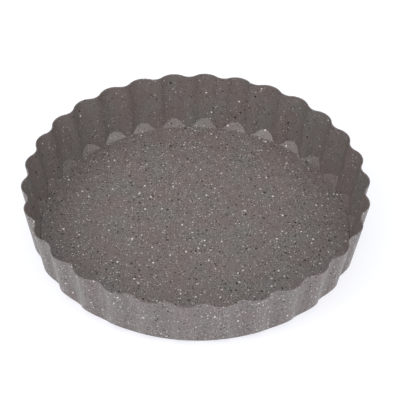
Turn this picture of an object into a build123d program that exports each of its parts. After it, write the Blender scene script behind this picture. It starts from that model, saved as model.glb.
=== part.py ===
# Fluted tart pan with a loose base, in millimetres.
#
# The pan is two pressed pieces of coated sheet. The ring is a fluted, flaring wall that turns in
# through a bevelled bottom corner to a narrow flat ledge around a large hole. The base is a flat
# round sheet that drops in from above and lies on the ledge, so that a baked tart can be pushed up
# out of the ring. The origin is the centre of the plane that the pan stands on, and +Z is up.
from build123d import *
import os
from math import cos, radians, sin, sqrt, tan

# The wall at its rim: the flutes are wide round lobes outwards, with tighter folds between them
rim_radius = 140.0  # out to the crest of a lobe
pan_height = 50.0
flute_count = 30
flute_depth = 4.4  # from crest to fold, the same all the way down the wall
lobe_radius = 15.0  # of a lobe's arc at the rim
wall_taper = 10.0  # degrees from upright
first_lobe = 2.5  # degrees, the turn of the nearest lobe from the +Y axis

# The bottom corner and the ledge
sheet = 1.0
bottom_radius = 126.0  # where the flat bottom would meet the bevel
bevel_rise = 48.0  # degrees, the bevel's slope above the flat bottom
corner_radius = 1.6  # outside radius between the bottom and the bevel
ledge_width = 13.0

# The loose base
base_radius = 125.4
base_sheet = 1.0
base_edge_radius = 0.4

pitch = 360 / flute_count
wall_slope = tan(radians(wall_taper))
sheet_across = sheet / cos(radians(wall_taper))  # the wall's thickness along a radius
cut_clearance = 2.0  # how far a cutting form runs past what it cuts


def polar(radius, turn):
    """A point at a radius and at a turn in degrees from the +X axis."""
    return Vector(radius * cos(radians(turn)), radius * sin(radians(turn)))


def fluted_outline(height, inset):
    """The wall's outline at one height: lobe and fold arcs that meet tangent to each other."""
    crest = rim_radius - wall_slope * (pan_height - height)
    fold = crest - flute_depth
    lobe = lobe_radius * crest / rim_radius
    lobe_centre = crest - lobe
    nearness = cos(radians(pitch / 2))
    fold_arc = (
        (lobe_centre**2 + fold**2 - 2 * lobe_centre * fold * nearness - lobe**2)
        / (2 * (lobe - fold + lobe_centre * nearness))
    )
    fold_centre = polar(fold + fold_arc, pitch / 2)
    share = (lobe - inset) / (lobe + fold_arc)
    joint = polar(lobe_centre, 0) * (1 - share) + fold_centre * share
    joint_turn = joint.get_angle(Vector(1, 0))
    for flute in range(flute_count):
        turn = 90 - first_lobe + flute * pitch
        lobe_start = polar(joint.length, turn - joint_turn)
        lobe_end = polar(joint.length, turn + joint_turn)
        next_start = polar(joint.length, turn + pitch - joint_turn)
        ThreePointArc(lobe_start, polar(crest - inset, turn), lobe_end)
        ThreePointArc(lobe_end, polar(fold - inset, turn + pitch / 2), next_start)


def bottom_form(inset):
    """Half of a dish's section, in the XZ plane: flat bottom, rounded corner and bevel."""
    bevel_slope = tan(radians(bevel_rise))
    top = pan_height + cut_clearance
    corner = bottom_radius - inset * tan(radians(bevel_rise / 2))
    Polyline(
        (0, top),
        (0, inset),
        (corner, inset),
        (corner + (top - inset) / bevel_slope, top),
        close=True,
    )


def rounded_corner(sketch, radius):
    """Rounds the corner between the flat bottom and the bevel."""
    lowest = sketch.vertices().group_by(Axis.Y)[0]
    fillet(lowest.sort_by(Axis.X)[-1], radius=radius)


# The space inside the ring: the fluted wall's inner face, closed by the dished bottom's
with BuildPart() as cavity:
    for level in (0, pan_height + cut_clearance):
        with BuildSketch(Plane.XY.offset(level)):
            with BuildLine():
                fluted_outline(level, sheet_across)
            make_face()
    loft(ruled=True)
    with BuildSketch(Plane.XZ) as inner_section:
        with BuildLine():
            bottom_form(sheet)
        make_face()
        rounded_corner(inner_section, corner_radius - sheet)
    revolve(axis=Axis.Z, mode=Mode.INTERSECT)

# The ring: the same form outside, less the cavity and the hole that the ledge leaves
with BuildPart() as fluted_ring:
    for level in (0, pan_height):
        with BuildSketch(Plane.XY.offset(level)):
            with BuildLine():
                fluted_outline(level, 0)
            make_face()
    loft(ruled=True)
    with BuildSketch(Plane.XZ) as outer_section:
        with BuildLine():
            bottom_form(0)
        make_face()
        rounded_corner(outer_section, corner_radius)
    revolve(axis=Axis.Z, mode=Mode.INTERSECT)
    add(cavity.part, mode=Mode.SUBTRACT)
    with BuildSketch():
        Circle(bottom_radius - ledge_width)
    extrude(amount=sheet, mode=Mode.SUBTRACT)
fluted_ring.part.label = "fluted_ring"

# The loose base: a flat disc with its cut edge softened, lying on the ledge
with BuildPart() as loose_base:
    with BuildSketch(Plane.XY.offset(sheet)):
        Circle(base_radius)
    extrude(amount=base_sheet)
    fillet(loose_base.edges().filter_by(GeomType.CIRCLE), radius=base_edge_radius)
loose_base.part.label = "loose_base"

os.makedirs("parts", exist_ok=True)
for piece in (fluted_ring, loose_base):
    export_step(piece.part, f"parts/{piece.part.label}.step")
    size = piece.part.bounding_box().size
    print(piece.part.label, round(piece.part.volume), [round(side, 2) for side in size])
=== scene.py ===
# %% [markdown]
# # A fluted tart pan with a loose base
#
# This lesson builds a round tart pan of pressed, coated sheet. It has two pieces: a fluted ring,
# whose flaring wall turns in to a narrow ledge at the bottom, and a thin base that lies on that
# ledge and lifts out. The engineering model fixes every size and place. Here we remake both pieces
# with smooth rims, folds and corners, and give them their speckled stone-look coating.

# %% Load the engineering model
from math import atan2, cos, degrees, radians, sin, sqrt, tan

import bmesh
import bpy
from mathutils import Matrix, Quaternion, Vector


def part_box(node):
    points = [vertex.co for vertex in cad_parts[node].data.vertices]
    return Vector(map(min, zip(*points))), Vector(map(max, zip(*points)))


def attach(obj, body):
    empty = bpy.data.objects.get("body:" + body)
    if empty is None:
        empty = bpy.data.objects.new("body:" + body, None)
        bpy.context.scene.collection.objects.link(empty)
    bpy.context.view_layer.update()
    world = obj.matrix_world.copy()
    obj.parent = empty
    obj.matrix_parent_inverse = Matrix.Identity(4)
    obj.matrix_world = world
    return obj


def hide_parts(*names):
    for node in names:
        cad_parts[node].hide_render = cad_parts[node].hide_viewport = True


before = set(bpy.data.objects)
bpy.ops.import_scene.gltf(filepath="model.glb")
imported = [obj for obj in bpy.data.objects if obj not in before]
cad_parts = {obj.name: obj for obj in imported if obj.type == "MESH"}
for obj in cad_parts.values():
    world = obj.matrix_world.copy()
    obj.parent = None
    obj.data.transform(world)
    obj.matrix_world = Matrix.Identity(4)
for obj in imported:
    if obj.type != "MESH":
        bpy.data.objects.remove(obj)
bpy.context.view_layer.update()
ring_low, ring_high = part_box("fluted_ring")
base_low, base_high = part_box("loose_base")

# %% [markdown]
# ## The camera
#
# We settle the camera before anything else, because it tells us how large each detail will look.
# It stands in front of the pan and looks down at it at a little over forty degrees. A long lens,
# from far away, keeps the round rim from being stretched, as in a catalogue picture. The camera
# is turned a little about its own line of sight, as a hand-held one is.

# %% Place the camera
camera_elevation = radians(42.54)
camera_distance = 1.572
camera_roll = radians(1.42)
aim = Vector((0.00345, 0, ring_high.z - 0.0183))

camera_data = bpy.data.cameras.new("camera")
camera_data.lens = 175.3
camera_data.sensor_width = 36
camera = bpy.data.objects.new("camera", camera_data)
bpy.context.collection.objects.link(camera)
towards_camera = Vector((0, -cos(camera_elevation), sin(camera_elevation)))
camera.location = aim + towards_camera * camera_distance
camera.rotation_mode = "QUATERNION"
level_view = (-towards_camera).to_track_quat("-Z", "Y")
camera.rotation_quaternion = level_view @ Quaternion((0, 0, 1), camera_roll)
bpy.context.scene.camera = camera
print("the camera stands", round(camera.location.z, 2), "m above the table")

# %% [markdown]
# ## The flutes
#
# A flute is drawn with two arcs that meet tangent to each other: a wide lobe outwards and a tighter
# fold inwards. Seen from the pan's axis, each arc is a simple formula of the turn from the lobe's
# crest. All round the wall the outline repeats every twelve degrees and is the same on both sides
# of a crest, so a vertex needs only its phase: how many columns it stands from the nearest crest.
# One ring of vertices then takes a shape by scaling each phase on its own.

# %% The sizes of the sheet and its flutes
sheet = 0.001
flute_count = 30
flute_depth = 0.0044
lobe_radius = 0.015
first_lobe = 2.5  # degrees from +Y towards +X
wall_slope = tan(radians(10))
bottom_radius = 0.126
bevel_slope = radians(48)
bevel_run = 1 / tan(bevel_slope)
corner_radius = 0.0016
ledge_width = 0.013

pan_height = ring_high.z
rim_radius = max(vertex.co.xy.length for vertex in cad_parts["fluted_ring"].data.vertices)
pitch = 360 / flute_count
half_columns = 12  # from a crest to the middle of a fold
column_turn = pitch / 2 / half_columns
columns = 2 * half_columns * flute_count

lobe_centre = rim_radius - lobe_radius
fold_radius = rim_radius - flute_depth
nearness = cos(radians(pitch / 2))
fold_arc = (
    (lobe_centre**2 + fold_radius**2 - 2 * lobe_centre * fold_radius * nearness - lobe_radius**2)
    / (2 * (lobe_radius - fold_radius + lobe_centre * nearness))
)
fold_centre = fold_radius + fold_arc
share = lobe_radius / (lobe_radius + fold_arc)
joint_x = lobe_centre + (fold_centre * cos(radians(pitch / 2)) - lobe_centre) * share
joint_y = fold_centre * sin(radians(pitch / 2)) * share
joint_turn = degrees(atan2(joint_y, joint_x))
print("lobe arc", lobe_radius * 1000, "mm, fold arc", round(fold_arc * 1000, 2), "mm")


# %% Where a column of the wall stands
def phase_of(place):
    """How many columns a point stands from the nearest crest."""
    turn = degrees(atan2(place.x, place.y)) - first_lobe
    return round(abs((turn + pitch / 2) % pitch - pitch / 2) / column_turn)


def rim_outline(phase):
    """The radius of the wall's outer face at the rim."""
    turn = phase * column_turn
    if turn < joint_turn:
        across = lobe_centre * sin(radians(turn))
        return lobe_centre * cos(radians(turn)) + sqrt(lobe_radius**2 - across**2)
    across = fold_centre * sin(radians(pitch / 2 - turn))
    return fold_centre * cos(radians(pitch / 2 - turn)) - sqrt(fold_arc**2 - across**2)


def crease_height(phase):
    """The height at which the sloping wall meets the bevel of the bottom corner."""
    foot = rim_outline(phase) - wall_slope * pan_height
    return (foot - bottom_radius) / (bevel_run - wall_slope)


def wall_place(phase, share_down):
    """Radius and height of the wall's outer face, from 0 at the rim to 1 at the crease."""
    height = pan_height + (crease_height(phase) - pan_height) * share_down
    return rim_outline(phase) - wall_slope * (pan_height - height), height


print("the crease is", round(crease_height(0) * 1000, 1), "mm up under a lobe,",
      round(crease_height(half_columns) * 1000, 1), "mm under a fold")

# %% [markdown]
# ## Choosing by place
#
# In the viewport we would click and box-select. In a script, a small helper looks at every vertex
# or edge in edit mode and selects those whose place fits a test. Everything else, such as scaling,
# extruding and bevelling, is then the same operator that the menus call.


# %% Selection helpers
def start_fresh():
    """Leaves edit mode and deselects all, so that the next operator acts on its own piece only."""
    if bpy.context.object and bpy.context.object.mode == "EDIT":
        bpy.ops.object.mode_set(mode="OBJECT")
    bpy.ops.object.select_all(action="DESELECT")


def choose_vertices(fits):
    """Selects the vertices of the mesh in edit mode that fit a test."""
    bpy.ops.mesh.select_mode(type="VERT")
    bpy.ops.mesh.select_all(action="DESELECT")
    mesh = bmesh.from_edit_mesh(bpy.context.object.data)
    for vertex in mesh.verts:
        vertex.select = fits(vertex)
    mesh.select_flush(True)
    bmesh.update_edit_mesh(bpy.context.object.data)


def choose_edges(fits):
    """Selects the edges of the mesh in edit mode whose two ends both fit a test."""
    bpy.ops.mesh.select_mode(type="EDGE")
    bpy.ops.mesh.select_all(action="DESELECT")
    mesh = bmesh.from_edit_mesh(bpy.context.object.data)
    for edge in mesh.edges:
        edge.select = all(fits(vertex) for vertex in edge.verts)
    bmesh.update_edit_mesh(bpy.context.object.data)


def shape_loop(place_of):
    """Scales and lifts the selected loop, phase by phase, to its radii and heights."""
    mesh = bmesh.from_edit_mesh(bpy.context.object.data)
    loop = {vertex.index for vertex in mesh.verts if vertex.select}
    for phase in range(half_columns + 1):
        choose_vertices(lambda vertex: vertex.index in loop and phase_of(vertex.co) == phase)
        mesh = bmesh.from_edit_mesh(bpy.context.object.data)
        sample = next(vertex.co.copy() for vertex in mesh.verts if vertex.select)
        radius, height = place_of(phase)
        scale = radius / sample.xy.length
        bpy.ops.transform.resize(value=(scale, scale, 1), center_override=(0, 0, 0))
        bpy.ops.transform.translate(value=(0, 0, height - sample.z))
    choose_vertices(lambda vertex: vertex.index in loop)


# %% [markdown]
# ## The ring's outer skin
#
# The real ring is one round blank of sheet, pressed into the flutes and then turned in at the
# bottom. We could cut a fluted solid with a dished one, but a boolean leaves long thin faces along
# the scalloped crease. A circle that is extruded down loop by loop gives even faces instead, and
# the crease is then a loop like any other, higher under each lobe than under each fold.

# %% Extrude the skin from the rim to the ledge
wall_loops = (0.04, 0.25, 0.5, 0.75, 0.95, 1)  # shares of the way down to the crease
ledge_loops = (0.4, 1)  # shares of the ledge's width

start_fresh()
bpy.ops.mesh.primitive_circle_add(vertices=columns, radius=rim_radius, location=(0, 0, pan_height))
ring = bpy.context.object
ring.name = "pressed_fluted_ring"
bpy.ops.object.transform_apply(location=True, rotation=True, scale=True)
bpy.ops.object.mode_set(mode="EDIT")
bpy.ops.mesh.select_all(action="SELECT")
shape_loop(lambda phase: wall_place(phase, 0))

for share_down in wall_loops:
    bpy.ops.mesh.extrude_edges_move(TRANSFORM_OT_translate={"value": (0, 0, -sheet)})
    shape_loop(lambda phase: wall_place(phase, share_down))
bpy.ops.mesh.extrude_edges_move(TRANSFORM_OT_translate={"value": (0, 0, -sheet)})
shape_loop(lambda phase: (bottom_radius, 0))
for inwards in ledge_loops:
    bpy.ops.mesh.extrude_edges_move(TRANSFORM_OT_translate={"value": (0, 0, 0)})
    shape_loop(lambda phase: (bottom_radius - ledge_width * inwards, 0))
print("the skin has", len(bmesh.from_edit_mesh(ring.data).faces), "faces")

# %% [markdown]
# Pressed sheet never turns a corner sharply. The bevel tool rounds the scalloped crease a little
# and the bottom corner more. Each is chosen by its place, and the bevel's width is the distance
# from the corner to where a rounding of the wanted radius begins.

# %% Round the crease and the bottom corner
touch = 0.00001  # places closer than this count as the same
crease_rounding = 0.0005
bottom_rounding = corner_radius * tan(bevel_slope / 2)


def on_crease(vertex):
    """True on the loop where the wall meets the bevel."""
    radius, height = wall_place(phase_of(vertex.co), 1)
    return abs(vertex.co.z - height) < touch and abs(vertex.co.xy.length - radius) < touch


choose_edges(on_crease)
bpy.ops.mesh.bevel(offset=crease_rounding, segments=3, affect="EDGES")
choose_edges(lambda vertex: abs(vertex.co.xy.length - bottom_radius) < touch)
bpy.ops.mesh.bevel(offset=bottom_rounding, segments=5, affect="EDGES")
print("after rounding:", len(bmesh.from_edit_mesh(ring.data).faces), "faces")

# %% [markdown]
# The skin gets its thickness from a Solidify modifier that grows inwards. Its normals must point
# outwards first, or the ring would grow past its real size. An even offset keeps the sheet equally
# thick round the bends.

# %% Give the sheet its thickness
bpy.ops.mesh.select_all(action="SELECT")
bpy.ops.mesh.remove_doubles(threshold=touch)
bpy.ops.mesh.normals_make_consistent(inside=False)
mesh = bmesh.from_edit_mesh(ring.data)
mesh.faces.ensure_lookup_table()
wall_face = max(mesh.faces, key=lambda face: face.calc_center_median().z)
if wall_face.normal.dot(wall_face.calc_center_median()) < 0:
    bpy.ops.mesh.flip_normals()
bpy.ops.object.mode_set(mode="OBJECT")

thickness = ring.modifiers.new("sheet", "SOLIDIFY")
thickness.thickness = sheet
thickness.offset = -1
thickness.use_even_offset = True
thickness.use_quality_normals = True
bpy.ops.object.modifier_apply(modifier=thickness.name)
print("the sheet ring has", len(ring.data.polygons), "faces")

# %% [markdown]
# The press cuts the rim off level, so the rim's vertices are flattened onto one height. The cut
# edges of rim and ledge are the only right angles on the piece: select-sharp finds them all, and a
# small bevel softens them as the coating does. That thin rounding catches the light as the pale
# line around the rim.

# %% Trim and soften the cut edges
edge_rounding = 0.00034
cut_angle = radians(55)
bpy.ops.object.mode_set(mode="EDIT")
choose_vertices(lambda vertex: vertex.co.z > pan_height - sheet / 2)
bpy.ops.transform.resize(value=(1, 1, 0), center_override=(0, 0, pan_height))
bpy.ops.mesh.select_mode(type="EDGE")
bpy.ops.mesh.select_all(action="DESELECT")
bpy.ops.mesh.edges_select_sharp(sharpness=cut_angle)
bpy.ops.mesh.bevel(offset=edge_rounding, segments=3, affect="EDGES")
bpy.ops.object.mode_set(mode="OBJECT")
print("with softened edges the ring has", len(ring.data.polygons), "faces")

# %% [markdown]
# Large faces next to narrow rounded ones shade badly, because a vertex takes the average of both.
# The Weighted Normal modifier lets the large faces win, so that walls look straight and only the
# roundings turn the light.


# %% Shade the piece smoothly
def shade(piece):
    """Smooth shading, in which the large faces decide the normals."""
    start_fresh()
    piece.select_set(True)
    bpy.context.view_layer.objects.active = piece
    bpy.ops.object.shade_smooth()
    weights = piece.modifiers.new("weights", "WEIGHTED_NORMAL")
    weights.weight = 80
    bpy.ops.object.modifier_apply(modifier=weights.name)


shade(ring)
print("the finished ring has", len(ring.data.polygons), "faces")

# %% [markdown]
# ## The loose base
#
# The base is a disc, stamped from the same coated sheet. Its cut edge leans out over the ring's
# bevel, which keeps the seam between the two narrow, and the die turns the edge up by a hair.
# A cylinder of the sheet's thickness is the start. Its two faces are inset, which makes the loops
# where the rim bends, and the outer loops are then moved to their places.

# %% Stamp the disc
base_middle = (base_low.z + base_high.z) / 2
base_sheet = base_high.z - base_low.z
base_radius = base_high.x + 0.0005  # the tip of the leaning edge
base_columns = 360
rim_width = 0.0006
rim_lift = 0.0002
undercut = 0.0009
loop_steps = (rim_width, 0.0009, 0.02, 0.04)  # from the edge inwards, each from the one before

start_fresh()
bpy.ops.mesh.primitive_cylinder_add(
    vertices=base_columns, radius=base_radius, depth=base_sheet, location=(0, 0, base_middle),
)
base = bpy.context.object
base.name = "lift_out_base"
bpy.ops.object.transform_apply(location=True, rotation=True, scale=True)
bpy.ops.object.mode_set(mode="EDIT")
bpy.ops.mesh.select_mode(type="FACE")
bpy.ops.mesh.select_all(action="DESELECT")
for face in bmesh.from_edit_mesh(base.data).faces:
    face.select = len(face.verts) > 4
for ring_width in loop_steps:
    bpy.ops.mesh.inset(thickness=ring_width)
bpy.ops.mesh.poke()
print("the disc has", len(bmesh.from_edit_mesh(base.data).faces), "faces")


# %% Turn up its edge
def on_loop(vertex, radius, on_top):
    """True for the vertices of one loop of the disc, on its top or on its underside."""
    return abs(vertex.co.xy.length - radius) < touch and (vertex.co.z > base_middle) == on_top


def move_loop(radius, on_top, inwards, lift):
    """Scales one loop of the disc to a smaller radius and lifts it."""
    choose_vertices(lambda vertex: on_loop(vertex, radius, on_top))
    scale = (radius - inwards) / radius
    bpy.ops.transform.resize(value=(scale, scale, 1), center_override=(0, 0, 0))
    bpy.ops.transform.translate(value=(0, 0, lift))


bend_radius = base_radius - rim_width
bend_rounding = 0.0002
base_edge_rounding = 0.0001
base_cut_angle = radians(40)

move_loop(base_radius, True, 0, rim_lift)
move_loop(bend_radius, False, undercut, 0)
move_loop(base_radius, False, undercut, 0)
choose_edges(lambda vertex: on_loop(vertex, bend_radius, True))
bpy.ops.mesh.bevel(offset=bend_rounding, segments=3, affect="EDGES")
bpy.ops.mesh.select_mode(type="EDGE")
bpy.ops.mesh.select_all(action="DESELECT")
bpy.ops.mesh.edges_select_sharp(sharpness=base_cut_angle)
bpy.ops.mesh.bevel(offset=base_edge_rounding, segments=2, affect="EDGES")
bpy.ops.object.mode_set(mode="OBJECT")
shade(base)
print("the base is", round(base_radius * 2000, 1), "mm across")

# %% [markdown]
# ## Shader maths
#
# A procedural coating is mostly arithmetic on patterns. In the node editor that is a tangle of Math
# nodes, so one small class wraps a socket and lets Python's own operators add them. Its `node`
# method adds any other node: the settings come first, then the values or links of its sockets.


# %% One class for sockets
class Wire:
    """An output socket of a material, on which operators add Math nodes."""

    def __init__(self, tree, socket=None):
        self.tree = tree
        self.socket = socket

    def node(self, kind, settings=None, inputs=None, output=0):
        """Adds a node, sets it up, fills its input sockets, and returns one of its outputs."""
        made = self.tree.nodes.new("ShaderNode" + kind)
        for name, value in (settings or {}).items():
            setattr(made, name, value)
        for name, value in (inputs or {}).items():
            if isinstance(value, Wire):
                self.tree.links.new(value.socket, made.inputs[name])
            else:
                made.inputs[name].default_value = value
        return Wire(self.tree, made.outputs[output] if made.outputs else None)

    def other(self, output):
        """Another output of the same node."""
        return Wire(self.tree, self.socket.node.outputs[output])

    def maths(self, operation, *values, clamped=False):
        """Adds a Math node to this value and others."""
        settings = {"operation": operation, "use_clamp": clamped}
        return self.node("Math", settings, dict(enumerate(values)))

    def __add__(self, value):
        return self.maths("ADD", self, value)

    def __radd__(self, value):
        return self.maths("ADD", value, self)

    def __sub__(self, value):
        return self.maths("SUBTRACT", self, value)

    def __rsub__(self, value):
        return self.maths("SUBTRACT", value, self)

    def __mul__(self, value):
        return self.maths("MULTIPLY", self, value)

    def __rmul__(self, value):
        return self.maths("MULTIPLY", value, self)

    def __lt__(self, value):
        return self.maths("LESS_THAN", self, value)

    def clamped(self):
        """The value kept between 0 and 1."""
        return self.maths("ADD", self, 0, clamped=True)

    def mixed_to(self, colour, amount):
        """This colour, turned by an amount into another."""
        inputs = {0: amount, 6: self, 7: colour}
        return self.node("Mix", {"data_type": "RGBA"}, inputs, output=2)


# %% [markdown]
# ## The coating
#
# Stone-look coating is sprayed in coats: a warm grey ground, then pale and black flecks of every
# size, from dust to about two millimetres. The flecks lie in loose drifts, thicker in one place
# than in the next. A Voronoi texture scatters points through space, and where the surface passes
# near a point it shows a small round fleck. Each point carries a random colour, which decides
# whether it shows at all and how large it is. The flecks are read at the object's own coordinates,
# so ring and base share one spray.


# %% Flecks
def ragged(position, amount, size):
    """The position, pushed about by noise so that round flecks turn irregular."""
    noise = position.node(
        "TexNoise", {}, {"Vector": position, "Scale": 1 / size, "Detail": 1.0}, output="Color",
    )
    centred = noise.node("VectorMath", {"operation": "SUBTRACT"}, {0: noise, 1: (0.5, 0.5, 0.5)})
    push = centred.node("VectorMath", {"operation": "SCALE"}, {0: centred, "Scale": amount})
    return position.node("VectorMath", {"operation": "ADD"}, {0: position, 1: push})


def flecks(position, spacing, largest, kept, spray, shift):
    """A mask of flecks up to the largest radius, in a share of the cells that follows the spray."""
    fleck_edge = 0.00012  # how softly a fleck ends
    moved = position.node("VectorMath", {"operation": "ADD"}, {0: position, 1: shift})
    cells = moved.node("TexVoronoi", {}, {"Vector": moved, "Scale": 1 / spacing})
    parts = cells.node("SeparateColor", {}, {0: cells.other("Color")})
    radius = (parts.other(1) * 0.65 + 0.35) * (largest / spacing)
    inside = ((radius - cells) * (spacing / fleck_edge)).clamped()
    return inside * (parts < spray * kept)


# %% [markdown]
# The flecks fall from above, so fewer of them stick to the steep inside of the wall than to the
# base. The direction of the surface tells the two apart: inside, its normal points back at the
# pan's axis.


# %% Where the spray lands
def spray_share(start, place, drift):
    """How thickly the flecks lie: in drifts, and thinner on the inside of the wall."""
    normal = start.node("TexCoord", output="Normal")
    level = place.node("VectorMath", {"operation": "MULTIPLY"}, {0: place, 1: (1, 1, 0)})
    outwards = level.node("VectorMath", {"operation": "NORMALIZE"}, {0: level})
    facing = outwards.node(
        "VectorMath", {"operation": "DOT_PRODUCT"}, {0: outwards, 1: normal}, output="Value",
    )
    inside = (0 - facing).clamped()
    return (drift * 0.6 + 0.7) * (1 - inside * 0.65)


# %% The colours of ground and flecks
ground_colour = (0.145, 0.118, 0.111, 1)
pale_ground_colour = (0.167, 0.139, 0.132, 1)
drift_colour = (0.147, 0.141, 0.133, 1)
light_dust_colour = (0.345, 0.317, 0.306, 1)
dark_dust_colour = (0.024, 0.013, 0.010, 1)
pale_fleck_colour = (0.500, 0.467, 0.453, 1)
black_fleck_colour = (0.010, 0.003, 0.002, 1)
bright_fleck_colour = (0.710, 0.675, 0.665, 1)
print("the ground is", round(ground_colour[0] / ground_colour[2], 2), "times as red as blue")


# %% Mix the coating
def coating():
    """The speckled coating of both pieces."""
    material = bpy.data.materials.new("stone_look_coating")
    material.use_nodes = True
    tree = material.node_tree
    tree.nodes.clear()
    start = Wire(tree)
    place = start.node("TexCoord", output="Object")
    cloud = place.node("TexNoise", {}, {"Vector": place, "Scale": 38.0, "Detail": 2.0})
    drift = ((cloud - 0.32) * 2.6).clamped()
    spray = spray_share(start, place, drift)

    spot = ragged(place, 0.0011, 0.0016)
    light_dust = flecks(spot, 0.0013, 0.00052, 1.0, spray, (1, 1, 2))
    dark_dust = flecks(spot, 0.0013, 0.00060, 1.0, spray, (3, 4, 3))
    pale = flecks(spot, 0.0025, 0.00066, 0.8, spray, (5, 3, 4))
    black = flecks(spot, 0.0040, 0.00105, 0.65, spray, (2, 2, 5))
    bright = flecks(spot, 0.0046, 0.00092, 0.5, spray, (4, 1, 6))

    tone = place.node("TexNoise", {}, {"Vector": place, "Scale": 700.0, "Detail": 3.0})
    ground = start.node("RGB")
    ground.socket.default_value = ground_colour
    colour = ground.mixed_to(pale_ground_colour, tone)
    colour = colour.mixed_to(drift_colour, drift * drift)
    colour = colour.mixed_to(light_dust_colour, light_dust * 0.9)
    colour = colour.mixed_to(dark_dust_colour, dark_dust * 0.9)
    colour = colour.mixed_to(pale_fleck_colour, pale)
    colour = colour.mixed_to(black_fleck_colour, black)
    colour = colour.mixed_to(bright_fleck_colour, bright)

    peel = place.node("TexNoise", {}, {"Vector": place, "Scale": 900.0, "Detail": 2.0})
    height = peel * 0.5 + (pale + bright + black) * 0.5
    bump = height.node("Bump", {}, {"Strength": 0.25, "Distance": 0.00006, "Height": height})
    roughness = 0.35 + tone * 0.1
    shader = colour.node("BsdfPrincipled", {}, {
        "Base Color": colour, "Roughness": roughness, "Normal": bump, "IOR": 1.5,
    })
    shader.node("OutputMaterial", {}, {0: shader})
    return material


coated = coating()
for piece, node, body in ((ring, "fluted_ring", "ring"), (base, "loose_base", "base")):
    piece.data.materials.clear()
    piece.data.materials.append(coated)
    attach(piece, body)
    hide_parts(node)
print("the coating has", len(coated.node_tree.nodes), "nodes")

# %% [markdown]
# ## The studio
#
# The pan stands on a plain white table under soft light. A pale dome of light fills in from all
# round, brighter in front and overhead. Two softboxes stand to the left and right of the camera:
# their mirror images light up the bevelled corner at the back of the pan, which no overhead light
# does. A third and weaker one hangs higher, on the left. The table is lit from within, as the
# acrylic tables of product studios are, so the outside of the wall stays bright and the pan throws
# hardly a shadow.

# %% The table
table_width = 6
table_colour = (0.4, 0.4, 0.4, 1)
table_glow_colour = (0.97, 0.98, 1.05, 1)
table_glow = 0.67

start_fresh()
bpy.ops.mesh.primitive_plane_add(size=table_width, location=(0, 0, ring_low.z))
table = bpy.context.object
table.name = "table"
bpy.ops.object.transform_apply(location=True, rotation=True, scale=True)
white = bpy.data.materials.new("table_white")
white.use_nodes = True
white_shader = white.node_tree.nodes["Principled BSDF"]
white_shader.inputs["Base Color"].default_value = table_colour
white_shader.inputs["Roughness"].default_value = 0.8
white_shader.inputs["Emission Color"].default_value = table_glow_colour
white_shader.inputs["Emission Strength"].default_value = table_glow
table.data.materials.append(white)
print("the table is", table_width, "m wide and stands at", round(ring_low.z, 3), "m")

# %% The dome
fill_light = 0.30
front_light = 0.94
top_light = 0.86

scene = bpy.context.scene
scene.view_settings.view_transform = "Standard"
world = bpy.data.worlds.new("dome")
world.use_nodes = True
scene.world = world
sky = Wire(world.node_tree)
direction = sky.node("TexCoord", output="Generated")
parts = direction.node("SeparateXYZ", {}, {0: direction})
away = parts.other("Y")
up = parts.other("Z").clamped()
front = (up * 0.34 - away * 0.94).clamped()  # 1 twenty degrees up in front, 0 at the back
strength = fill_light + front * front * front_light + up * up * up * up * top_light
background = world.node_tree.nodes["Background"]
background.inputs["Color"].default_value = (1, 1, 1, 1)
world.node_tree.links.new(strength.socket, background.inputs["Strength"])
print("the dome has", len(world.node_tree.nodes), "nodes")


# %% The softboxes
softbox_width = 0.6
softbox_distance = 1.5


def softbox(name, azimuth, elevation, energy):
    """A square softbox aimed at the pan; azimuth runs from +Y towards +X, in degrees."""
    data = bpy.data.lights.new(name, "AREA")
    data.shape = "SQUARE"
    data.size = softbox_width
    data.energy = energy
    lamp = bpy.data.objects.new(name, data)
    bpy.context.collection.objects.link(lamp)
    turn, rise = radians(azimuth), radians(elevation)
    towards = Vector((sin(turn) * cos(rise), cos(turn) * cos(rise), sin(rise)))
    lamp.location = towards * softbox_distance
    lamp.rotation_mode = "QUATERNION"
    lamp.rotation_quaternion = (-towards).to_track_quat("-Z", "Y")
    print(name, "hangs", round(lamp.location.z, 2), "m above the table")


softbox("softbox_right", 122, 34, 5.1)
softbox("softbox_left", -126, 36, 5.4)
softbox("softbox_high_left", -90, 50, 2.4)
